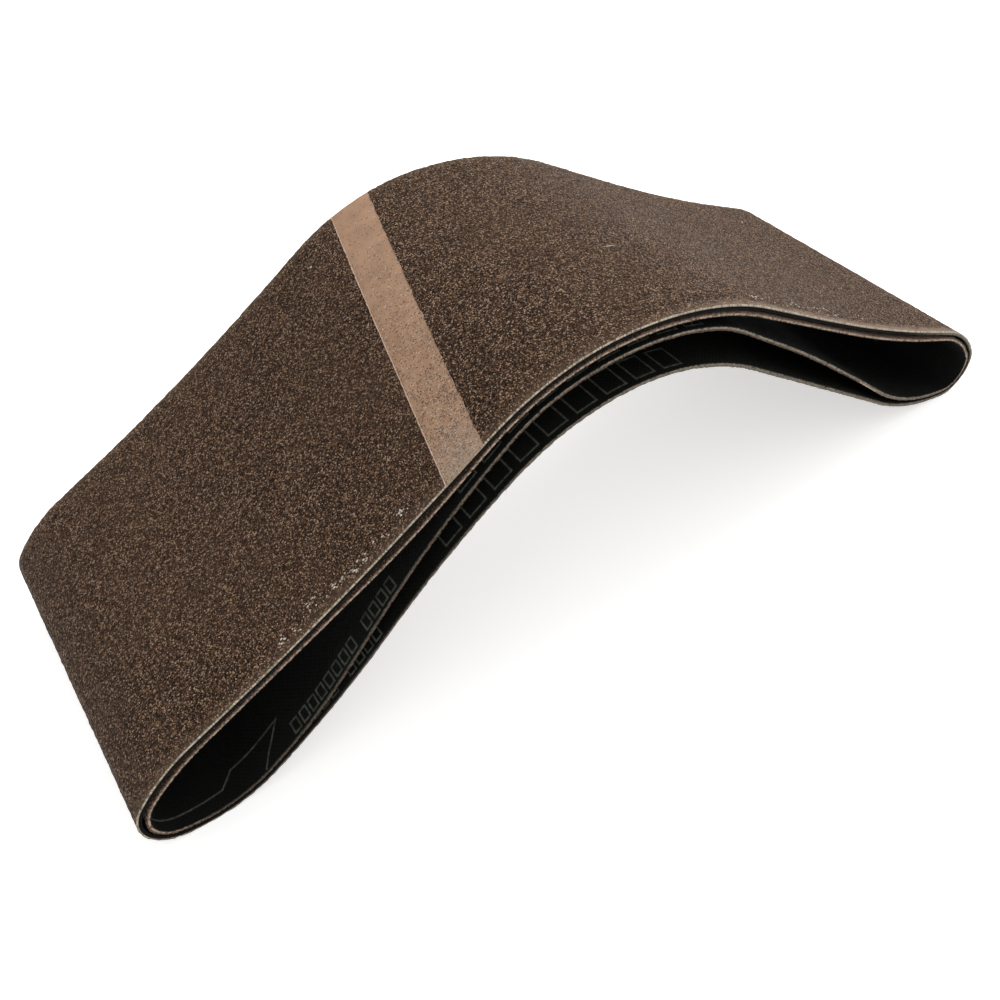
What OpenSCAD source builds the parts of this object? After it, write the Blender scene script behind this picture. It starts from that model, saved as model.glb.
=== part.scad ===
// Two endless cloth-backed sanding belts of the same size, one lying inside the other.
// Together they are pressed into a low arch that stands on its two end bends.
// +X runs along the belts, +Y across their width and +Z up.
// The origin is the middle of the arch's footprint.

/* [Belts] */
// Length of each belt, measured around the inside of its loop
belt_length = 533.4; // [520:0.1:550]
// Width of each belt
belt_width = 76.2; // [50:0.1:110]

/* [Layers] */
// Thickness of the dark film that seals the back of the cloth
back_coat_t = 0.06; // [0.04:0.01:0.10]
// Thickness of the woven cloth
cloth_t = 0.50; // [0.40:0.01:0.52]
// Thickness of the resin that anchors the grain
make_coat_t = 0.10; // [0.06:0.01:0.12]
// Thickness of the grain with the resin over it
grain_coat_t = 0.30; // [0.20:0.01:0.30]

/* [Splices] */
// Length of belt that a splice takes up
splice_l = 9.6; // [6:0.1:10]
// How far a splice leans from straight across the belt, in degrees
splice_lean = 15.7; // [0:0.1:18]
// Thickness of the glue line under a lap
glue_t = 0.05; // [0.03:0.01:0.06]
// Thickness of the thinned cloth lap
lap_t = 0.28; // [0.15:0.01:0.30]
// Distance from the outer belt's crown, leftwards along the belt, to the middle of its splice
outer_splice_at = 26.1; // [24:0.1:27]
// The same for the inner belt, past its left bend and along its underside to the right
inner_splice_at = 340; // [336:0.5:344]

/* [Nesting] */
// How far the inner belt's crown hangs below the outer belt's crown
crown_drop = 1.4; // [1.35:0.05:1.5]
// How far the inner belt's crown is moved along the belt
crown_shift = 0; // [-0.2:0.05:0.2]

/* [Hidden] */
// The bends are drawn in steps of at most this many degrees
turn_step = 3;
// A splice is cut out this far inwards and outwards from the inside face, because the belt bends away from it
splice_in = 3.2;
splice_out = 2.8;

BACK = "#1b1d1c";
CLOTH = "#b9ab93";
RESIN = "#3a271f";
GRAIN = "#5d483d";
GLUE = "#8d6a4a";
LAP = "#a98468";

// Levels of the layers, measured outwards from the inside face of the loop
cloth_at = back_coat_t;
make_at = cloth_at + cloth_t;
grain_at = make_at + make_coat_t;
belt_t = grain_at + grain_coat_t;
lap_at = make_at + glue_t;

// The inside face of each loop, as stretches of [length, turn].
// They are walked from the crown, down its left side and round.
// A turn of 0 is a straight stretch and a negative turn bends the other way, over the hollow of the arch.
outer_run = [
    [30, 32], [14, 0], [62, -7], [16, 26], [16.5, 117], [19, 43], [32, 11], [8, 0], [34, -10],
    [48, -53], [16, -13], [58, -3], [31, 28], [15, 128], [17, 37], [54, -7], [24, 0], [39, 31]
];
inner_run = [
    [31.5, 34.5], [11.5, 0], [19.5, -7.5], [41.5, 0], [15, 18], [5.5, 39], [8.5, 81], [19, 47], [25, 15],
    [15.5, 0], [39, -12], [16.5, -23.5], [34, -33], [10, -14], [53.5, -6], [6.5, 0], [8.5, 1.5], [29.5, 30.5],
    [12, 129], [16.5, 38], [43, -8.5], [34.5, 0], [38, 31]
];
// The two straight stretches of each run that take up the difference when the loop closes
outer_ties = [1, 16];
inner_ties = [1, 21];

// The radius that a stretch bends to
function radius(stretch) = abs(stretch[0] / stretch[1]) * 180 / PI;

// A pose is [x, z, heading]. Where a stretch that starts at a pose ends
function advance(pose, stretch) =
    let (
        h = pose[2],
        l = stretch[0],
        turn = stretch[1],
        r = turn == 0 ? 0 : sign(turn) * radius(stretch)
    )
    turn == 0
        ? [pose[0] + l * cos(h), pose[1] + l * sin(h), h]
        : [pose[0] + r * (sin(h + turn) - sin(h)), pose[1] + r * (cos(h) - cos(h + turn)), h + turn];

// The poses at which the stretches of a run start, and the one at which the last of them ends
function poses(run, pose, i = 0) =
    i == len(run) ? [pose] : concat([pose], poses(run, advance(pose, run[i]), i + 1));

// A run with its two ties lengthened so that it ends where it starts
function closed(run, ties) =
    let (
        p = poses(run, [0, 0, 180]),
        gap = p[len(run)],
        a = p[ties[0]][2],
        b = p[ties[1]][2],
        extra_a = (gap[1] * cos(b) - gap[0] * sin(b)) / sin(b - a),
        extra_b = (gap[0] * sin(a) - gap[1] * cos(a)) / sin(b - a)
    )
    [for (i = [0 : len(run) - 1])
        [run[i][0] + (i == ties[0] ? extra_a : i == ties[1] ? extra_b : 0), run[i][1]]];

// A run's whole length, and the run scaled to the belt's length
function run_length(run, i = 0) = i == len(run) ? 0 : run[i][0] + run_length(run, i + 1);
function sized(run) = let (k = belt_length / run_length(run)) [for (s = run) [s[0] * k, s[1]]];

// The points of a belt's outer surface where the run turns left through a heading
function passes(run, start, heading) =
    let (p = poses(run, start))
    [for (i = [0 : len(run) - 1])
        if (run[i][1] > 0 && p[i][2] <= heading && heading < p[i + 1][2])
            let (r = radius(run[i]), h = p[i][2])
            [p[i][0] - r * sin(h) + (r + belt_t) * sin(heading),
             p[i][1] + r * cos(h) - (r + belt_t) * cos(heading)]];

// How far a place along a run is into its stretch number i, and the pose there
function pose_at(run, start, s, i = 0) =
    s < run[i][0]
        ? advance(start, [s, run[i][1] * s / run[i][0]])
        : pose_at(run, advance(start, run[i]), s - run[i][0], i + 1);

outer = sized(closed(outer_run, outer_ties));
inner = sized(closed(inner_run, inner_ties));

// The arch is levelled on its two end bends, and then moved so that it stands over the origin
feet = passes(outer, [0, 0, 180], 360);
tilt = atan2(feet[1][1] - feet[0][1], feet[1][0] - feet[0][0]);
level = [0, 0, 180 - tilt];
foot = passes(outer, level, 360)[0];
left_end = passes(outer, level, 270)[0];
right_end = passes(outer, level, 450)[0];
crown = [-(left_end[0] + right_end[0]) / 2, -foot[1]];
outer_start = [crown[0], crown[1], 180 - tilt];
inner_start = [crown[0] + crown_shift, crown[1] - crown_drop, 180 - tilt];

// Stands the XY plane of its children up as the XZ plane, with the belt's middle at y = 0
module across() {
    translate([0, belt_width / 2, 0]) rotate([90, 0, 0]) children();
}

// The outline of a run at a level outside its inside face, with a point at each step of turn
function outline(run, start, level) =
    let (p = poses(run, start))
    [for (i = [0 : len(run) - 1])
        let (steps = max(1, ceil(abs(run[i][1]) / turn_step)))
        for (k = [0 : steps - 1])
            let (q = advance(p[i], run[i] * k / steps))
            [q[0] + level * sin(q[2]), q[1] - level * cos(q[2])]];

// A layer of a belt all the way round its loop, between two levels
module layer(run, start, low, high) {
    outside = outline(run, start, high);
    inside = outline(run, start, low);
    n = len(outside);
    across() linear_extrude(belt_width)
        polygon(concat(outside, inside), [[for (i = [0 : n - 1]) i], [for (i = [n : 2 * n - 1]) i]]);
}

// The slanting block that holds a belt's splice, square to the belt at the splice's middle
module splice_block(run, start, at) {
    p = pose_at(run, start, at);
    reach = belt_width / 2 + 1;
    slant = reach * tan(splice_lean);
    translate([p[0], 0, p[1]]) rotate([0, 180 - p[2], 0]) translate([0, 0, -splice_in])
        linear_extrude(splice_in + splice_out) polygon([
            [-slant - splice_l / 2, -reach], [-slant + splice_l / 2, -reach],
            [slant + splice_l / 2, reach], [slant - splice_l / 2, reach]
        ]);
}

// A layer that stops on each side of the splice, and a layer that lies only in the splice
module spliced_layer(run, start, at, low, high) {
    difference() {
        layer(run, start, low, high);
        splice_block(run, start, at);
    }
}
module splice_layer(run, start, at, low, high) {
    intersection() {
        layer(run, start, low, high);
        splice_block(run, start, at);
    }
}

module outer_back_coat() color(BACK) layer(outer, outer_start, 0, cloth_at);
module outer_cloth() color(CLOTH) layer(outer, outer_start, cloth_at, make_at);
module outer_make_coat() color(RESIN)
    spliced_layer(outer, outer_start, outer_splice_at, make_at, grain_at);
module outer_grain_coat() color(GRAIN)
    spliced_layer(outer, outer_start, outer_splice_at, grain_at, belt_t);
module outer_splice_glue() color(GLUE)
    splice_layer(outer, outer_start, outer_splice_at, make_at, lap_at);
module outer_splice_lap() color(LAP)
    splice_layer(outer, outer_start, outer_splice_at, lap_at, lap_at + lap_t);

module inner_back_coat() color(BACK) layer(inner, inner_start, 0, cloth_at);
module inner_cloth() color(CLOTH) layer(inner, inner_start, cloth_at, make_at);
module inner_make_coat() color(RESIN)
    spliced_layer(inner, inner_start, inner_splice_at, make_at, grain_at);
module inner_grain_coat() color(GRAIN)
    spliced_layer(inner, inner_start, inner_splice_at, grain_at, belt_t);
module inner_splice_glue() color(GLUE)
    splice_layer(inner, inner_start, inner_splice_at, make_at, lap_at);
module inner_splice_lap() color(LAP)
    splice_layer(inner, inner_start, inner_splice_at, lap_at, lap_at + lap_t);

outer_back_coat();
outer_cloth();
outer_make_coat();
outer_grain_coat();
outer_splice_glue();
outer_splice_lap();
inner_back_coat();
inner_cloth();
inner_make_coat();
inner_grain_coat();
inner_splice_glue();
inner_splice_lap();
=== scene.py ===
"""Two endless sanding belts, one inside the other, pressed into a low arch that stands on its end bends."""

import math

import bpy
import numpy as np
from mathutils import Matrix, Vector


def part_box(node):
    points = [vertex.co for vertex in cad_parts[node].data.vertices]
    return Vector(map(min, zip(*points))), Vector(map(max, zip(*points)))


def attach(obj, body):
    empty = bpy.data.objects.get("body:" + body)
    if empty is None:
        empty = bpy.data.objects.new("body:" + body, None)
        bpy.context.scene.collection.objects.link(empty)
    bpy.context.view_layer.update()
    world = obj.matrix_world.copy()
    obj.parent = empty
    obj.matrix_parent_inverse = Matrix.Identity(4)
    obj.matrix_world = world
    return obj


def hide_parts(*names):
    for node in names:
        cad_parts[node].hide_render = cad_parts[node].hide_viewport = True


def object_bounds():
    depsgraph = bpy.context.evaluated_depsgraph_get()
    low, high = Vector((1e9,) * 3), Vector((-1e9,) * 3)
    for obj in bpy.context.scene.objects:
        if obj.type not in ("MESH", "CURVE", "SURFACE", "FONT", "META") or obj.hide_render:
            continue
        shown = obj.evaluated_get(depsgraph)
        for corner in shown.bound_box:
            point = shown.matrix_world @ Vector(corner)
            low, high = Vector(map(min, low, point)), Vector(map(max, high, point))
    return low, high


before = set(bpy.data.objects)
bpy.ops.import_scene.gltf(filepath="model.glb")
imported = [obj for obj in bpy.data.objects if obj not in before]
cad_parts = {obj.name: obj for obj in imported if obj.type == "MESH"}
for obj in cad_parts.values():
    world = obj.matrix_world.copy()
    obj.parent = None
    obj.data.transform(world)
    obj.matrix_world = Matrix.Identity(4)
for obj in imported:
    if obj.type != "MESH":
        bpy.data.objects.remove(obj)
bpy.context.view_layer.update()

MM = 0.001
BELTS = {"outer": "outer_belt", "inner": "inner_belt"}
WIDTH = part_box("outer_cloth")[1].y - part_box("outer_cloth")[0].y
HALF = WIDTH / 2
# Of each belt, round the inside of its loop
LENGTH = 533.4 * MM
SEED = 47


# ---------------------------------------------------------------- belt coordinates

def cut_edge_outlines(node):
    """The two closed outlines of a layer's near cut edge, as (x, z) corners, the shorter one first."""
    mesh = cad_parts[node].data
    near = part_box(node)[0].y
    places = {}
    uses = {}
    for face in mesh.polygons:
        corners = [mesh.vertices[i].co for i in face.vertices]
        if any(abs(c.y - near) > 1e-6 for c in corners):
            continue
        keys = [(round(c.x * 1e7), round(c.z * 1e7)) for c in corners]
        places.update((k, (c.x, c.z)) for k, c in zip(keys, corners))
        for pair in zip(keys, keys[1:] + keys[:1]):
            side = tuple(sorted(pair))
            uses[side] = uses.get(side, 0) + 1
    beside = {}
    for (a, b), count in uses.items():
        if count == 1:
            beside.setdefault(a, []).append(b)
            beside.setdefault(b, []).append(a)
    outlines = []
    while beside:
        key = next(iter(beside))
        walk = []
        while key in beside:
            walk.append(places[key])
            ahead = [k for k in beside.pop(key) if k in beside]
            key = ahead[0] if ahead else None
        outlines.append(np.array(walk))
    return sorted(outlines, key=lambda p: np.linalg.norm(p - np.roll(p, 1, 0), axis=1).sum())


def smooth_loop(corners, step):
    """The closed curve through the corners, as points a step apart.

    Where a long and a short side meet, the long one leads.
    """
    ahead = np.roll(corners, -1, 0)
    side = ahead - corners
    length = np.linalg.norm(side, axis=1)[:, None]
    heading = side + np.roll(side, 1, 0)
    heading /= np.linalg.norm(heading, axis=1)[:, None]
    start, end = heading * length, np.roll(heading, -1, 0) * length
    t = np.linspace(0, 1, 24, endpoint=False)[:, None, None]
    curve = (
        corners * (2 * t**3 - 3 * t**2 + 1)
        + start * (t**3 - 2 * t**2 + t)
        + ahead * (3 * t**2 - 2 * t**3)
        + end * (t**3 - t**2)
    )
    points = curve.transpose(1, 0, 2).reshape(-1, 2)
    points = np.vstack([points, points[:1]])
    along = np.concatenate([[0], np.cumsum(np.linalg.norm(np.diff(points, axis=0), axis=1))])
    even = np.linspace(0, along[-1], round(along[-1] / step) + 1)
    return even, np.column_stack([np.interp(even, along, points[:, i]) for i in (0, 1)])


class Loop:
    """A belt in its own coordinates: s along, y across, and h out from its inside face.

    s starts at the crown and goes down the left side.
    """

    def __init__(self, belt):
        self.belt = belt
        inside = cut_edge_outlines(f"{belt}_back_coat")[0]
        area = (inside[:, 0] * np.roll(inside[:, 1], -1) - inside[:, 1] * np.roll(inside[:, 0], -1)).sum()
        if area < 0:
            inside = inside[::-1]
        inside = np.roll(inside, -int(inside[:, 1].argmax()), 0)
        self.s, self.line = smooth_loop(inside, 0.1 * MM)
        self.length = self.s[-1]
        run = np.roll(self.line[:-1], -3, 0) - np.roll(self.line[:-1], 3, 0)
        run /= np.linalg.norm(run, axis=1)[:, None]
        out = np.column_stack([run[:, 1], -run[:, 0]])
        self.out = np.vstack([out, out[:1]])

    def points(self, place):
        """Points in the row frame for rows of (s, y, h)."""
        s = np.mod(place[:, 0], self.length)
        x, z, nx, nz = (np.interp(s, self.s, c) for c in (*self.line.T, *self.out.T))
        return np.column_stack([x + nx * place[:, 2], place[:, 1], z + nz * place[:, 2]])

    def locate(self, node):
        """The belt coordinates of a CAD node's vertices."""
        co = np.array([v.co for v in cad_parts[node].data.vertices], float)
        apart = ((co[:, None, [0, 2]] - self.line[None, :-1]) ** 2).sum(2)
        i = apart.argmin(1)
        off = co[:, [0, 2]] - self.line[i]
        return np.column_stack([self.s[i], co[:, 1], (off * self.out[i]).sum(1)])

    def levels(self, layer):
        """How far out from the inside face a layer starts and ends."""
        h = np.sort(self.locate(f"{self.belt}_{layer}")[:, 2])
        middle = (h[0] + h[-1]) / 2
        return float(np.median(h[h < middle])), float(np.median(h[h > middle]))


class Splice:
    """Where a belt's ends are lapped: a slanting band with its middle at s.

    It leans by lean along the belt for each metre across.
    """

    def __init__(self, loop):
        place = loop.locate(f"{loop.belt}_splice_lap")
        near = place[place[:, 1] < -HALF + 1e-5, 0]
        far = place[place[:, 1] > HALF - 1e-5, 0]
        self.s = (near.min() + near.max() + far.min() + far.max()) / 4
        self.length = (near.max() - near.min() + far.max() - far.min()) / 2
        self.lean = (far.mean() - near.mean()) / WIDTH
        self.low, self.high = loop.levels("splice_lap")


# ---------------------------------------------------------------- meshes in belt coordinates

def belt_piece(name, loop, place, faces, material, slot, node=None, sharp=40):
    """A mesh given by belt coordinates, which rides on its belt.

    Its corners keep those coordinates, in millimetres, for the material.
    """
    mesh = bpy.data.meshes.new(name)
    mesh.from_pydata(loop.points(place).tolist(), [], faces)
    corner = np.empty(len(mesh.loops), np.int32)
    mesh.loops.foreach_get("vertex_index", corner)
    value = place[corner] / MM
    first = np.empty(len(mesh.polygons), np.int32)
    mesh.polygons.foreach_get("loop_start", first)
    size = np.diff(np.append(first, len(corner)))
    furthest = np.repeat(np.maximum.reduceat(value[:, 0], first), size)
    value[furthest - value[:, 0] > loop.length / MM / 2, 0] += loop.length / MM
    kept = mesh.attributes.new("belt", "FLOAT_VECTOR", "CORNER")
    kept.data.foreach_set("vector", value.astype(np.float32).ravel())
    mesh.polygons.foreach_set("use_smooth", np.ones(len(mesh.polygons), bool))
    mesh.set_sharp_from_angle(angle=math.radians(sharp))
    mesh.materials.append(material)
    piece = bpy.data.objects.new(name, mesh)
    bpy.context.scene.collection.objects.link(piece)
    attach(piece, BELTS[loop.belt])
    if node:
        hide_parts(node)
    return piece


def quads(rows, columns, closed, flip=False, first=0):
    """The faces of a grid numbered row by row. A closed grid's last row joins its first."""
    i = np.arange(rows if closed else rows - 1)[:, None]
    j = np.arange(columns - 1)[None, :]
    ahead = (i + 1) % rows
    a, b = i * columns + j, ahead * columns + j
    faces = np.stack([a, a + 1, b + 1, b], 2) + first
    faces = faces.reshape(-1, 4)
    return (faces[:, ::-1] if flip else faces).tolist()


def ring(loop, profile, step):
    """Belt coordinates and faces of a band that runs all round a loop.

    The profile is its closed cross-section, rows of (y, h).
    """
    rows = round(loop.length / step)
    s = np.arange(rows) * loop.length / rows
    n = len(profile)
    place = np.empty((rows, n, 3))
    place[:, :, 0] = s[:, None]
    place[:, :, 1:] = profile
    faces = np.array(quads(rows, n + 1, True))
    r, c = faces // (n + 1), faces % (n + 1) % n
    return place.reshape(-1, 3), (r * n + c).tolist()


def slab(loop, splice, columns, step, every, low, high, rng, relief):
    """Belt coordinates and faces of a coat that stops at both edges of the splice.

    Its outer face is uneven by relief, and its inner face has only every so many of the columns.
    """
    rows = round((loop.length - splice.length) / step) + 1
    u = np.linspace(0, 1, rows)[:, None]
    y = np.linspace(-HALF, HALF, columns)[None, :]
    along = u * (loop.length - splice.length)
    slant = np.maximum(0, 1 - np.minimum(along, along[::-1]) / (50 * MM))
    s = splice.s + splice.length / 2 + along + y * splice.lean * slant**2
    top = np.stack([s, y + 0 * s, high + 0 * s], 2)
    bump = rng.normal(0, relief, s.shape)
    top[:, :, 2] += bump
    top[1:-1, 1:-1, 0] += rng.uniform(-0.2, 0.2, (rows - 2, columns - 2)) * step
    top[:, 0, 1] += rng.uniform(-1, 0.4, rows) * relief * 2
    top[:, -1, 1] -= rng.uniform(-1, 0.4, rows) * relief * 2
    bottom = np.stack([s, y + 0 * s, low + 0 * s], 2)[:, ::every]
    few = bottom.shape[1]
    base = rows * columns
    faces = quads(rows, columns, False) + quads(rows, few, False, True, base)
    for r in range(rows - 1):
        a, b = r * columns, base + r * few
        faces.append([a, a + columns, b + few, b])
        a, b = a + columns - 1, b + few - 1
        faces.append([a, b, b + few, a + columns])
    for r, turned in ((0, False), (rows - 1, True)):
        for k in range(few - 1):
            upper = [r * columns + k * every + i for i in range(every + 1)]
            face = upper[::-1] + [base + r * few + k, base + r * few + k + 1]
            faces.append(face[::-1] if turned else face)
    return np.vstack([top.reshape(-1, 3), bottom.reshape(-1, 3)]), faces


def tubes(paths, radius):
    """Rows and faces of thin three-sided tubes that taper. paths is [tube, station, (s, y, h)]."""
    count, stations, _ = paths.shape
    run = np.gradient(paths, axis=1)
    run /= np.linalg.norm(run, axis=2, keepdims=True)
    beside = np.cross(run, (0.1, 0.2, 1.0))
    beside /= np.linalg.norm(beside, axis=2, keepdims=True)
    above = np.cross(run, beside)
    taper = np.linspace(1, 0.35, stations)[None, :, None]
    rings = []
    for k in range(3):
        turn = 2 * math.pi * k / 3
        spoke = beside * math.cos(turn) + above * math.sin(turn)
        rings.append(paths + radius[:, None, None] * taper * spoke)
    place = np.stack(rings, 2).reshape(-1, 3)
    faces = []
    for first in range(0, count * stations * 3, stations * 3):
        for a in range(first, first + (stations - 1) * 3, 3):
            faces += [[a + k, a + (k + 1) % 3, a + 3 + (k + 1) % 3, a + 3 + k] for k in range(3)]
        end = first + (stations - 1) * 3
        faces += [[first + 2, first + 1, first], [end, end + 1, end + 2]]
    return place, faces


def fibres(loop, low, high, rng):
    """Short broken yarn ends that stand out of both cut edges of the cloth."""
    count = 2600
    side = rng.choice((-1, 1), count)
    s = rng.uniform(0, loop.length, count)
    h = low + (high - low) * rng.uniform(0.25, 1.0, count)
    length = rng.gamma(3.0, 0.13 * MM, count)
    length[: count // 50] *= 3.5
    heading = rng.normal(0, 0.8, count)
    curl = rng.normal(0, 0.9, count)
    lift = rng.normal(0, 0.12, count)
    t = np.linspace(0, 1, 5)[None, :]
    turn = heading[:, None] + curl[:, None] * t
    step = length[:, None] / 4
    along = np.cumsum(np.sin(turn) * step, 1)
    outward = np.cumsum(np.cos(turn) * step * 0.6, 1) - 0.1 * MM
    rise = lift[:, None] * length[:, None] * t
    paths = np.stack([s[:, None] + along, side[:, None] * (HALF + outward), h[:, None] + rise], 2)
    return tubes(paths, rng.uniform(0.014, 0.032, count) * MM)


def flakes(marks, level, rng):
    """Low irregular flakes at marks of (s, y, length, width) in millimetres."""
    corners = 9
    place, faces = [], []
    for s, y, length, width in marks:
        turn = np.arange(corners) * 2 * math.pi / corners + rng.uniform(0, 0.5)
        reach = rng.uniform(0.55, 1.0, corners)
        ring_s, ring_y = np.cos(turn) * reach * length / 2, np.sin(turn) * reach * width / 2
        first = len(place)
        for share, height in ((1.0, -0.08), (0.9, 0.05), (0.45, 0.11)):
            rise = height + rng.uniform(-0.02, 0.02, corners)
            corner_rows = zip(ring_s, ring_y, rise)
            place += [[s + a * share, y + b * share, r + level / MM] for a, b, r in corner_rows]
        for a in (first, first + corners):
            for k in range(corners):
                ahead = (k + 1) % corners
                faces.append([a + k, a + ahead, a + corners + ahead, a + corners + k])
        faces.append([first + 2 * corners + k for k in range(corners)])
        faces.append([first + k for k in reversed(range(corners))])
    return np.array(place) * MM, faces


def ribbons(lines, stroke, low, high):
    """Thin strips of that stroke width along lines of (s, y) corners in millimetres.

    A line that ends at its start is closed.
    """
    place, faces = [], []
    for line in lines:
        corners = np.array(line, float)
        closed = bool((corners[0] == corners[-1]).all())
        run = np.diff(corners, axis=0)
        length = np.linalg.norm(run, axis=1, keepdims=True)
        run /= length
        out = np.column_stack([run[:, 1], -run[:, 0]])
        first = len(place)
        for k in range(len(run)):
            before = out[k - 1] if k or closed else out[k]
            mitre = (out[k] + before) / (1 + out[k] @ before)
            parts = max(1, int(length[k, 0] / 1.5))
            for i in range(parts):
                centre = corners[k] + (corners[k + 1] - corners[k]) * i / parts
                place += strip_corners(centre, out[k] if i else mitre, stroke, low, high)
        if not closed:
            place += strip_corners(corners[-1], out[-1], stroke, low, high)
        count = (len(place) - first) // 4
        for i in range(count if closed else count - 1):
            a, b = first + 4 * i, first + 4 * ((i + 1) % count)
            faces += [[a + k, a + (k + 1) % 4, b + (k + 1) % 4, b + k] for k in range(4)]
        if not closed:
            faces += [[first + 3, first + 2, first + 1, first], [len(place) - 4 + k for k in range(4)]]
    place = np.array(place)
    place[:, :2] *= MM
    return place, faces


def strip_corners(centre, across, stroke, low, high):
    """The four corners of a strip's section, as (s, y) in millimetres and h in metres."""
    a, b = centre - across * stroke / 2, centre + across * stroke / 2
    return [[*a, low], [*b, low], [*b, high], [*a, high]]


# ---------------------------------------------------------------- materials

class Nodes:
    """A small helper that builds one material's node tree."""

    def __init__(self, name, roughness=0.8, **sockets):
        self.material = bpy.data.materials.new(name)
        self.material.use_nodes = True
        self.tree = self.material.node_tree
        self.shader = self.tree.nodes["Principled BSDF"]
        self.shader.inputs["Roughness"].default_value = roughness
        for socket, value in sockets.items():
            self.shader.inputs[socket.replace("_", " ")].default_value = value

    def add(self, kind, inputs=None, **settings):
        node = self.tree.nodes.new(kind)
        for key, value in settings.items():
            setattr(node, key, value)
        for key, value in (inputs or {}).items():
            self.put(node.inputs[key], value)
        return node

    def put(self, socket, value):
        if isinstance(value, bpy.types.NodeSocket):
            self.tree.links.new(value, socket)
        else:
            socket.default_value = value

    def set(self, socket, value):
        self.put(self.shader.inputs[socket], value)

    def belt(self):
        """Place on the belt in millimetres: s, y, h."""
        return self.add("ShaderNodeAttribute", attribute_name="belt").outputs["Vector"]

    def vector(self, x, y, z=0.0):
        return self.add("ShaderNodeCombineXYZ", {0: x, 1: y, 2: z}).outputs[0]

    def split(self, vector):
        return self.add("ShaderNodeSeparateXYZ", {0: vector}).outputs

    def math(self, operation, a, b=0.0):
        return self.add("ShaderNodeMath", {0: a, 1: b}, operation=operation).outputs[0]

    def share(self, value, start, end):
        """How far a value is on the way from start to end, from 0 to 1."""
        inputs = {"Value": value, "From Min": start, "From Max": end}
        return self.add("ShaderNodeMapRange", inputs).outputs[0]

    def scaled(self, vector, factors):
        return self.add("ShaderNodeVectorMath", {0: vector, 1: factors}, operation="MULTIPLY").outputs[0]

    def noise(self, vector, scale, detail=2.0, rough=0.5):
        inputs = {"Vector": vector, "Scale": scale, "Detail": detail, "Roughness": rough}
        return self.add("ShaderNodeTexNoise", inputs).outputs["Fac"]

    def cells(self, vector, scale):
        return self.add("ShaderNodeTexVoronoi", {"Vector": vector, "Scale": scale}).outputs

    def ramp(self, value, *stops):
        """A colour ramp with stops of (position, colour)."""
        node = self.add("ShaderNodeValToRGB", {0: value})
        elements = node.color_ramp.elements
        while len(elements) < len(stops):
            elements.new(0.5)
        for element, (position, colour) in zip(elements, stops):
            element.position = position
            element.color = (*linear(colour), 1) if isinstance(colour, str) else (colour, colour, colour, 1)
        return node.outputs["Color"]

    def mix(self, factor, a, b):
        node = self.add("ShaderNodeMix", data_type="RGBA")
        self.put(node.inputs["Factor"], factor)
        for socket, value in ((node.inputs[6], a), (node.inputs[7], b)):
            self.put(socket, (*linear(value), 1) if isinstance(value, str) else value)
        return node.outputs[2]

    def bump(self, height, distance, below=None):
        """A bump of that depth in metres, on top of another one."""
        node = self.add("ShaderNodeBump", {"Height": height, "Distance": distance, "Strength": 1.0})
        if below is not None:
            self.put(node.inputs["Normal"], below)
        return node.outputs[0]


def linear(colour):
    """A #rrggbb colour as linear values."""
    values = [int(colour[i:i + 2], 16) / 255 for i in (1, 3, 5)]
    return [v / 12.92 if v <= 0.04045 else ((v + 0.055) / 1.055) ** 2.4 for v in values]


def edge_distance(n, y):
    """How far a place is from the nearer cut edge, in millimetres."""
    return n.math("SUBTRACT", HALF / MM, n.math("ABSOLUTE", y))


def round_the_loop(n, s, *stops):
    """A value that changes along a belt, given at shares of the belt's length."""
    return n.ramp(n.math("DIVIDE", s, LENGTH / MM), *stops)


def underside(n, s):
    """1 on the lower run of a belt, 0 on its upper run, and in between on its two bends."""
    return round_the_loop(n, s, (0.23, 0.0), (0.28, 1.0), (0.71, 1.0), (0.76, 0.0))


def painted_shade_under_arch(n, s):
    """How much painted shade darkens the lower run of a belt, under the arch: most from its left bend on,
    fading to 0 below the crown.
    """
    return round_the_loop(n, s, (0.235, 0.0), (0.262, 0.85), (0.38, 0.7), (0.5, 0.0))


def worn_band(n, s, y, h):
    """A pale, dusty band beside the near cut edge, on the right slope of the upper run."""
    along = round_the_loop(n, s, (0.72, 0.0), (0.755, 0.85), (0.93, 0.75), (0.98, 0.0))
    inset = n.math("ADD", y, HALF / MM)
    ragged = n.math("ADD", inset, n.math("MULTIPLY", n.noise(n.vector(s, y), 0.45, 5.0), 5.0))
    across = n.ramp(n.math("DIVIDE", ragged, 10.0), (0.26, 1.0), (0.55, 0.0))
    top = n.ramp(h, (0.88, 0.25), (0.93, 1.0))
    return n.math("MULTIPLY", n.math("MULTIPLY", along, across), top)


def rim_colour(n, place, s, belt):
    """The cut through the grain: a pale broken line on the outer belt's upper run, with painted shade on
    the duller copies: on both belts' lower runs, and on the inner belt, whose upper-run cut lies in the
    shadowed gap under the outer belt.
    """
    patchy = n.noise(n.scaled(place, (2.8, 0, 0.8)), 1.0, 3.0)
    # Painted shadow: the inner belt's cut is made much darker, for the shadowed gap under the outer belt.
    dull, pale = ("#5d5346", "#b8ad9b") if belt == "outer" else ("#0d0a08", "#5f4e42")
    above = n.ramp(patchy, (0.35, dull), (0.6, pale))
    # Painted shade: a duller copy for the lower runs, darker still on the inner belt's lower run under the
    # arch.
    below = n.ramp(patchy, (0.35, "#4c453b"), (0.6, "#776e61"))
    if belt == "inner":
        below = n.mix(painted_shade_under_arch(n, s), below, "#1c1d18")
    return n.mix(underside(n, s), above, below)


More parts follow.
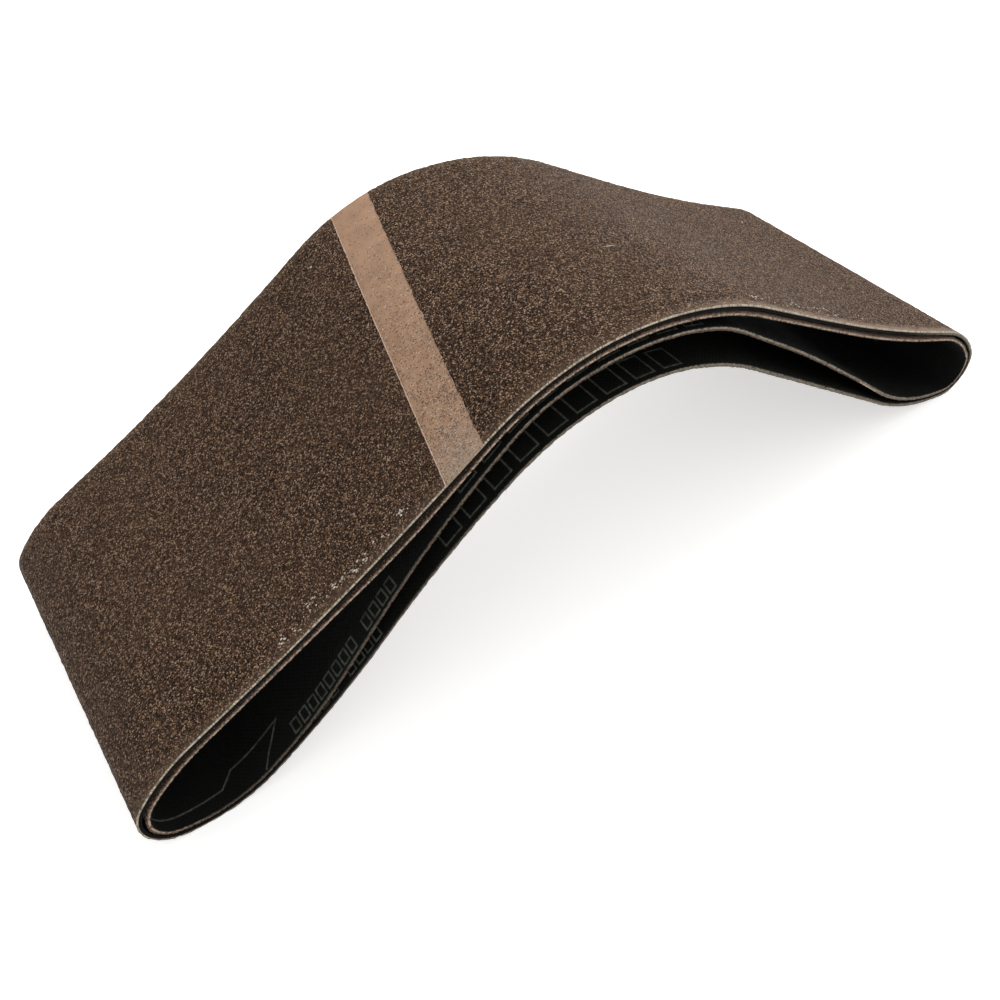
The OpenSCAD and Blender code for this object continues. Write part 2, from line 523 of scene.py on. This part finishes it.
def grain_material(belt):
    """Brown aluminium oxide grain: angular grains of about 0.3 mm in dark resin, a few of them pale."""
    n = Nodes(f"{belt}_grain_coat", 0.75, Specular_IOR_Level=0.06)
    place = n.belt()
    s, y, h = n.split(place)
    flat = n.scaled(place, (1, 1, 0.5))
    grains = n.cells(flat, 3.7)
    fine = n.cells(flat, 7.0)
    shade = n.split(grains["Color"])
    colour = n.ramp(
        shade[0], (0.0, "#010000"), (0.43, "#040201"), (0.5, "#38241a"), (0.8, "#745641"), (1.0, "#b79d85")
    )
    fine_shade = n.split(fine["Color"])
    small = n.ramp(fine_shade[0], (0.0, "#020101"), (0.38, "#0d0805"), (0.7, "#5a422f"), (1.0, "#8f7563"))
    colour = n.mix(0.3, colour, small)
    gaps = n.ramp(grains["Distance"], (0.4, 0.0), (0.7, 1.0))
    colour = n.mix(n.math("MULTIPLY", gaps, 0.6), colour, "#120a06")
    wide = n.noise(n.scaled(place, (0.035, 0.035, 0)), 1.0, 3.0)
    colour = n.mix(n.ramp(wide, (0.35, 0.0), (0.7, 0.22)), colour, "#4c3a2c")
    near = edge_distance(n, y)
    colour = n.mix(n.ramp(n.math("DIVIDE", near, 10), (0.02, 0.22), (0.28, 0.0)), colour, "#776555")
    colour = n.mix(worn_band(n, s, y, h), colour, "#857263")
    # The cut through the grain along both edges, with the painted shade and shadow of rim_colour.
    colour = n.mix(n.ramp(near, (0.1, 1.0), (0.22, 0.0)), colour, rim_colour(n, place, s, belt))
    n.set("Base Color", colour)
    n.set("Roughness", n.ramp(shade[1], (0.0, 0.45), (0.25, 0.75), (1.0, 0.9)))
    height = n.math("SUBTRACT", n.math("MULTIPLY", shade[0], 0.8), grains["Distance"])
    coarse = n.bump(height, 0.16 * MM)
    n.set("Normal", n.bump(n.math("SUBTRACT", 1.0, fine["Distance"]), 0.05 * MM, coarse))
    return n.material


def resin_material():
    """The dark brown make coat, which shows as a thin line under the grain."""
    n = Nodes("make_coat", 0.5)
    place = n.belt()
    mottle = n.noise(place, 1.6, 4.0)
    n.set("Base Color", n.ramp(mottle, (0.3, "#23160f"), (0.55, "#4a3427"), (0.75, "#7d6251")))
    n.set("Normal", n.bump(mottle, 0.05 * MM))
    return n.material


def weave(n, place, pitch):
    """The height of a plain weave of that pitch in millimetres, from 0 to 1."""
    s, y, _ = n.split(place)
    turn = math.pi / pitch
    warp = n.math("SINE", n.math("MULTIPLY", s, turn))
    weft = n.math("SINE", n.math("MULTIPLY", y, turn))
    over = n.math("MULTIPLY", warp, weft)
    return n.math("ADD", n.math("MULTIPLY", over, 0.5), 0.5)


def back_material():
    """The near-black film on the back of the cloth, with the weave showing through it."""
    n = Nodes("back_coat", 0.72, Specular_IOR_Level=0.15)
    place = n.belt()
    woven = weave(n, place, 0.55)
    dust = n.noise(n.scaled(place, (0.12, 0.12, 0)), 1.0, 5.0, 0.6)
    colour = n.ramp(woven, (0.1, "#060705"), (0.9, "#0e100d"))
    colour = n.mix(n.ramp(dust, (0.5, 0.0), (0.85, 0.5)), colour, "#1b1e19")
    n.set("Base Color", colour)
    rough = n.noise(place, 0.7, 3.0)
    n.set("Roughness", n.ramp(rough, (0.3, 0.6), (0.7, 0.85)))
    below = n.bump(woven, 0.06 * MM)
    n.set("Normal", n.bump(rough, 0.03 * MM, below))
    return n.material


def soak_and_painted_shade(n, s, belt):
    """How dark the cut edge of the cloth is made along the belt, from 0 to 1."""
    # On the inner belt this is painted shade on its lower run, under the arch. On the outer belt it is dark
    # along the upper run and round the left bend, partly back coat taken up into the edge and partly
    # painted shadow of the gap to the inner belt, and less from the lower run round the right bend, where
    # the belts touch.
    if belt == "inner":
        return round_the_loop(n, s, (0.235, 0.0), (0.262, 1.0), (0.71, 1.0), (0.76, 0.0))
    return round_the_loop(n, s, (0.3, 1.0), (0.45, 0.25), (0.78, 0.25), (0.82, 1.0))


def cloth_material(belt, low, high):
    """The cut edge of the cloth: yarn ends from pale to black, and black where it meets the back, with
    painted shade along parts of the belt.
    """
    n = Nodes(f"{belt}_cloth", 0.9, Specular_IOR_Level=0.06)
    place = n.belt()
    s, _, h = n.split(place)
    depth = n.share(h, low / MM, high / MM)
    yarn = n.noise(n.scaled(place, (1.9, 1.9, 4.0)), 1.0, 3.0)
    level = n.math("ADD", depth, n.math("MULTIPLY", n.math("SUBTRACT", yarn, 0.5), 0.9))
    patchy = n.noise(n.scaled(place, (2.2, 0.3, 1.5)), 1.0, 3.0)
    grey = n.ramp(patchy, (0.35, "#453f36"), (0.6, "#857b6d"))
    # Painted shade under the arch, on the lower run.
    grey = n.mix(painted_shade_under_arch(n, s), grey, "#1c1d18")
    if belt == "inner":
        # Inner belt: the paler cloth of its upper run, with a greyer painted-shade copy on its lower run.
        upper_run_cloth = n.ramp(patchy, (0.35, "#45382f"), (0.6, "#a48e7c"))
        colour = n.mix(soak_and_painted_shade(n, s, belt), upper_run_cloth, grey)
    else:
        # Outer belt: black along its upper run, partly back coat taken up into the edge and partly painted
        # shadow of the gap to the inner belt.
        colour = n.mix(soak_and_painted_shade(n, s, belt), grey, "#0a0b09")
    colour = n.mix(n.ramp(level, (0.1, 1.0), (0.3, 0.0)), colour, "#0b0c0a")
    n.set("Base Color", colour)
    n.set("Normal", n.bump(yarn, 0.12 * MM))
    return n.material


def lap_material():
    """The tan ground-down lap. The flecks of grain left in it thicken towards the near cut edge."""
    n = Nodes("splice_lap", 0.7)
    place = n.belt()
    y = n.split(place)[1]
    wide = n.noise(n.scaled(place, (0.25, 0.25, 0)), 1.0, 3.0)
    colour = n.ramp(wide, (0.3, "#806149"), (0.7, "#937257"))
    nearness = n.share(y, HALF / MM, -HALF / MM)
    grains = n.cells(place, 3.3)
    pick = n.split(grains["Color"])[0]
    patchy = n.ramp(n.noise(n.scaled(place, (0.45, 0.45, 0)), 1.0, 3.0), (0.38, 0.2), (0.62, 0.85))
    limit = n.math("MULTIPLY", n.math("POWER", nearness, 1.7), patchy)
    core = n.ramp(grains["Distance"], (0.4, 1.0), (0.52, 0.0))
    fleck = n.math("MULTIPLY", n.math("LESS_THAN", pick, n.math("ADD", limit, 0.03)), core)
    many = n.math("SUBTRACT", 1.0, n.math("MULTIPLY", nearness, 0.17))
    pale = n.math("MULTIPLY", n.math("GREATER_THAN", pick, many), core)
    colour = n.mix(n.math("MULTIPLY", fleck, 0.9), colour, "#2e1e15")
    colour = n.mix(n.math("MULTIPLY", pale, 0.85), colour, "#a39a8e")
    colour = n.mix(n.ramp(nearness, (0.86, 0.0), (1.0, 0.35)), colour, "#8b8174")
    n.set("Base Color", colour)
    n.set("Normal", n.bump(n.math("ADD", fleck, n.noise(place, 3.0, 3.0)), 0.05 * MM))
    return n.material


def fibre_material(belt):
    """Pale greyish cotton fibres, made near-black where the cloth's edge is darkened: painted shade on the
    inner belt's lower run, and on the outer belt's upper run partly back coat and partly painted shadow.
    """
    n = Nodes(f"{belt}_fibres", 0.9, Specular_IOR_Level=0.1)
    place = n.belt()
    s = n.split(place)[0]
    pick = n.noise(n.scaled(place, (0.8, 0.2, 0.5)), 1.0, 3.0)
    colour = n.ramp(pick, (0.35, "#2c2a22"), (0.5, "#6e6557"), (0.65, "#a89c89"))
    # Painted shade and shadow, as on the cloth's edge, with back coat in part on the outer belt.
    n.set("Base Color", n.mix(n.math("MULTIPLY", soak_and_painted_shade(n, s, belt), 0.97), colour, "#0d0d0a"))
    return n.material


def flake_material():
    """Pale, greyish resin flakes where the coat has chipped."""
    n = Nodes("resin_flakes", 0.75)
    place = n.belt()
    mottle = n.noise(place, 2.6, 4.0)
    n.set("Base Color", n.ramp(mottle, (0.3, "#6d6256"), (0.5, "#a39a8c"), (0.7, "#c9c2b4")))
    n.set("Normal", n.bump(mottle, 0.08 * MM))
    return n.material


def ink_material():
    """Faint grey-green print on the back, worn thin in places."""
    n = Nodes("back_print", 0.8)
    place = n.belt()
    worn = n.noise(place, 0.9, 5.0, 0.7)
    n.set("Base Color", n.ramp(worn, (0.34, "#1c1e19"), (0.5, "#3e4138"), (0.7, "#5c6054")))
    return n.material


def glue_material():
    """The amber film under the lap and the pale line of it that stands at the lap's edge."""
    n = Nodes("splice_glue", 0.45)
    place = n.belt()
    mottle = n.noise(place, 1.2, 3.0)
    n.set("Base Color", n.ramp(mottle, (0.3, "#7d624d"), (0.7, "#a98c73")))
    n.set("Normal", n.bump(mottle, 0.05 * MM))
    return n.material


# ---------------------------------------------------------------- the belts

def build_back(loop, material):
    low, high = loop.levels("back_coat")
    across = np.linspace(-HALF, HALF, 9)
    profile = np.array([[y, high] for y in across] + [[y, low] for y in across[::-1]])
    place, faces = ring(loop, profile[::-1], 0.5 * MM)
    name = f"{loop.belt}_back_coat"
    belt_piece(f"{name}_film", loop, place, faces, material, "back_coat", name)


def build_cloth(loop, material, rng):
    """The cloth, with the ends of its cross yarns standing out of both cut edges."""
    low, high = loop.levels("cloth")
    levels = np.linspace(low, high, 5)
    near, far = [[-HALF, h] for h in levels], [[HALF, h] for h in levels[::-1]]
    profile = np.array(near + [[0, high]] + far + [[0, low]])
    place, faces = ring(loop, profile, 0.2 * MM)
    place = place.reshape(-1, len(profile), 3)
    yarn = np.abs(np.sin(place[:, 0, 0] / MM * math.pi / 0.55))[:, None]
    loose = 1 + 0.6 * rng.standard_normal((len(place), 1))
    bulge = 0.07 * MM * yarn * loose * np.array([0.2, 1, 0.6, 1, 0.3])
    place[:, 0:5, 1] -= bulge
    place[:, 6:11, 1] += bulge
    name = f"{loop.belt}_woven_cloth"
    return belt_piece(name, loop, place.reshape(-1, 3), faces, material, "cloth", f"{loop.belt}_cloth")


def build_coats(loop, splice, materials, rng):
    """The make coat and the grain coat, both of which stop at the splice."""
    for part, slot, material, columns, every, step, relief in (
        ("make_coat", "resin", materials["resin"], 13, 2, 0.8 * MM, 0.0),
        ("grain_coat", "grain", materials["grain"], 101, 5, 0.76 * MM, 0.045 * MM),
    ):
        low, high = loop.levels(part)
        place, faces = slab(loop, splice, columns, step, every, low, high, rng, relief)
        name = f"{loop.belt}_{part}"
        belt_piece(f"{name}_layer", loop, place, faces, material, slot, name, 60)


def build_splice(loop, splice, materials, rng):
    """The ground-down lap, the glue under it and the two lines of glue that stand along its edges."""
    belt = loop.belt
    glue_low = loop.levels("make_coat")[0]
    lap = splice_patch(splice, splice.low, splice.high, rng, 0.012 * MM)
    belt_piece(f"{belt}_lap", loop, *lap, materials["lap"], "lap", f"{belt}_splice_lap")
    film = splice_patch(splice, glue_low, splice.low, rng, 0)
    belt_piece(f"{belt}_glue_film", loop, *film, materials["glue"], "glue", f"{belt}_splice_glue")
    top = loop.levels("grain_coat")[1] - 0.05 * MM
    y = np.linspace(-HALF, HALF, 160)
    for side, edge, radius in (("left", 0.5, 0.13), ("right", -0.5, 0.07)):
        wander = np.cumsum(rng.normal(0, 0.006 * MM, len(y)))
        s = splice.s + edge * splice.length + y * splice.lean + wander
        line = bead(np.column_stack([s, y, 0 * y + top]), radius * MM)
        belt_piece(f"{belt}_splice_{side}_line", loop, *line, materials["glue"], "glue")


def build_details(loop, materials, rng):
    """What stands on a belt: broken fibres along its cut edges, chips of its coat, and its back's print."""
    belt = loop.belt
    threads = fibres(loop, *loop.levels("cloth"), rng)
    belt_piece(f"{belt}_edge_fibres", loop, *threads, materials["fibres"], "cloth")
    chips = flakes(edge_marks(belt, rng), loop.levels("grain_coat")[1], rng)
    belt_piece(f"{belt}_chipped_flakes", loop, *chips, materials["flakes"], "resin")
    back = loop.levels("back_coat")[0]
    marks = ribbons(back_print(belt), 0.42, back - 0.012 * MM, back + 0.01 * MM)
    belt_piece(f"{belt}_back_print", loop, *marks, materials["ink"], "back_coat")


def build_belt(belt, seed, shared):
    rng = np.random.default_rng(seed)
    loop = Loop(belt)
    splice = Splice(loop)
    materials = dict(
        shared,
        grain=grain_material(belt),
        cloth=cloth_material(belt, *loop.levels("cloth")),
        fibres=fibre_material(belt),
    )
    build_back(loop, materials["back"])
    cloth = build_cloth(loop, materials["cloth"], rng)
    build_coats(loop, splice, materials, rng)
    build_splice(loop, splice, materials, rng)
    build_details(loop, materials, rng)


def bead(path, radius):
    """A low rounded line along a path of (s, y, h), with an uneven width."""
    sides = 6
    count = len(path)
    turn = np.arange(sides) * 2 * math.pi / sides
    swell = 1 + 0.2 * np.sin(np.arange(count) * 0.9) * np.cos(np.arange(count) * 0.37)
    place = np.repeat(path[:, None, :], sides, 1)
    place[:, :, 0] += radius * swell[:, None] * np.cos(turn)[None, :]
    place[:, :, 2] += radius * 0.6 * swell[:, None] * np.sin(turn)[None, :]
    faces = []
    for i in range(count - 1):
        a, b = i * sides, (i + 1) * sides
        faces += [[a + k, a + (k + 1) % sides, b + (k + 1) % sides, b + k] for k in range(sides)]
    faces.append([k for k in reversed(range(sides))])
    faces.append([(count - 1) * sides + k for k in range(sides)])
    return place.reshape(-1, 3), faces


# Groups of flakes beside the near cut edge, as (from s, to s, distance from the edge, count) in millimetres
FLAKE_GROUPS = {"outer": [(50, 82, 2.6, 34), (449, 494, 5.2, 26)], "inner": [(300, 330, 2.0, 10)]}
# Chips of the outer belt's coat, as (s, y, spread, count) in millimetres
CHIPS = [
    (50.1, -34.8, 0.75, 9), (61.6, -35.7, 0.7, 6), (64.0, -36.0, 0.6, 6), (66.3, -35.1, 0.6, 6),
    (68.3, -35.1, 0.5, 4), (74.0, -33.9, 0.8, 6), (81.3, -35.3, 0.9, 8), (493.2, -33.7, 0.9, 7),
    (478.3, -32.0, 0.7, 5), (464.3, -31.9, 0.7, 5),
]
# A scratch and two dots on the outer belt, as (s, y, length, width) in millimetres
SINGLE_MARKS = [(514.6, -10.5, 4.4, 0.22), (427.6, 26.4, 0.8, 0.7), (30.8, 30.6, 0.7, 0.7)]


def edge_marks(belt, rng):
    """Places of a belt's pale flakes, as (s, y, length, width) in millimetres."""
    marks = []
    for first, last, inset, count in FLAKE_GROUPS[belt]:
        for s in rng.uniform(first, last, count):
            y = -HALF / MM + max(0.4, rng.normal(inset, inset * 0.3))
            size = rng.gamma(2.2, 0.13)
            marks.append((s, y, size * 1.3 + 0.12, size * 0.8 + 0.1))
    if belt == "inner":
        return marks
    for s, y, spread, count in CHIPS:
        for _ in range(count):
            size = rng.uniform(0.25, 0.7)
            along, across = rng.normal(0, spread), rng.normal(0, spread * 0.6)
            marks.append((s + along, y + across, size * 1.3, size * 0.8))
    return marks + SINGLE_MARKS


# In millimetres: where the print on each belt's back starts, along the belt, and its arrow from there
PRINT_STARTS = {"outer": (118, 385), "inner": (123, 440)}
PRINT_ARROW = [
    (3, -35.8), (14.5, -35.1), (19.3, -34.8), (22.4, -32.1), (35.7, -31.3), (30.3, -36.0), (28.6, -37.9)
]


def back_print(belt):
    """Outlines of the plain print on a belt's back: an arrow and rows of bars."""
    outlines = []
    for at in PRINT_STARTS[belt]:
        outlines.append([(at + s, y) for s, y in PRINT_ARROW])
        for i in range(13):
            if i != 8:
                outlines.append(bar(at + 38 + 2.9 * i, -37.4, 1.9, 2.6))
        for i in range(9):
            outlines.append(bar(at + 96 + 7.0 * i, -36.8, 4.6, 6.0))
            outlines.append(bar(at + 96 + 7.0 * i, 8.0, 4.6, 6.0))
        for i in range(9):
            outlines.append(bar(at + 42 + 3.6 * i, 16.0, 2.4, 4.4))
    return outlines


def bar(s, y, length, height):
    return [(s, y), (s + length, y), (s + length, y + height), (s, y + height), (s, y)]


def splice_patch(splice, low, high, rng, relief):
    """Belt coordinates and faces of a thin layer that fills the splice."""
    rows, columns = 15, 121
    u = np.linspace(-0.5, 0.5, rows)[:, None]
    y = np.linspace(-HALF, HALF, columns)[None, :]
    s = splice.s + u * splice.length + y * splice.lean
    top = np.stack([s, y + 0 * s, high + rng.normal(0, 1, s.shape) * relief], 2)
    bottom = np.stack([s, y + 0 * s, low + 0 * s], 2)
    base = rows * columns
    faces = quads(rows, columns, False) + quads(rows, columns, False, True, base)
    rim = (
        [j for j in range(columns)]
        + [i * columns + columns - 1 for i in range(1, rows)]
        + [(rows - 1) * columns + j for j in range(columns - 2, -1, -1)]
        + [i * columns for i in range(rows - 2, 0, -1)]
    )
    for a, b in zip(rim, rim[1:] + rim[:1]):
        faces.append([a, a + base, b + base, b])
    return np.vstack([top.reshape(-1, 3), bottom.reshape(-1, 3)]), faces


# ---------------------------------------------------------------- the scene around them

def build_floor():
    mesh = bpy.data.meshes.new("floor")
    size = 4.0
    corners = [(-size, -size, 0), (size, -size, 0), (size, size, 0), (-size, size, 0)]
    mesh.from_pydata(corners, [], [(0, 1, 2, 3)])
    n = Nodes("floor", 0.9)
    n.set("Base Color", (0.75, 0.75, 0.745, 1))
    n.set("Emission Color", (1, 1, 1, 1))
    n.set("Emission Strength", 0.55)
    mesh.materials.append(n.material)
    floor = bpy.data.objects.new("floor", mesh)
    floor.location.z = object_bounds()[0].z
    bpy.context.scene.collection.objects.link(floor)


def build_light(name, place, target, size, watts):
    data = bpy.data.lights.new(name, "AREA")
    data.shape = "SQUARE"
    data.size = size
    data.energy = watts
    light = bpy.data.objects.new(name, data)
    light.location = place
    light.rotation_euler = (Vector(target) - Vector(place)).to_track_quat("-Z", "Y").to_euler()
    bpy.context.scene.collection.objects.link(light)


def build_camera():
    """A close camera, above the near left side, turned so that the arch's crown points up."""
    data = bpy.data.cameras.new("camera")
    data.sensor_width = 36
    data.lens = 36.98
    data.clip_start = 0.01
    camera = bpy.data.objects.new("camera", data)
    forward = Vector((0.3604, 0.5997, -0.7145)).normalized()
    up = Vector((0.4298, 0.5730, 0.6978)).normalized()
    right = forward.cross(up).normalized()
    up = right.cross(forward)
    turn = Matrix((right, up, -forward)).transposed().to_4x4()
    camera.matrix_world = Matrix.Translation((-0.1016, -0.1524, 0.1819)) @ turn
    bpy.context.scene.collection.objects.link(camera)
    bpy.context.scene.camera = camera


def build_world():
    world = bpy.data.worlds.new("studio")
    world.use_nodes = True
    background = world.node_tree.nodes["Background"]
    background.inputs["Color"].default_value = (1, 1, 1, 1)
    background.inputs["Strength"].default_value = 0.97
    bpy.context.scene.world = world


def main():
    shared = {
        "resin": resin_material(),
        "back": back_material(),
        "lap": lap_material(),
        "glue": glue_material(),
        "flakes": flake_material(),
        "ink": ink_material(),
    }
    for belt, seed in (("outer", SEED), ("inner", SEED + 1)):
        build_belt(belt, seed, shared)
    build_floor()
    build_world()
    build_light("key", (0.8, 0.4, 0.9), (0, 0, 0.03), 0.8, 16)
    build_camera()
    bpy.context.scene.view_settings.view_transform = "Standard"


main()
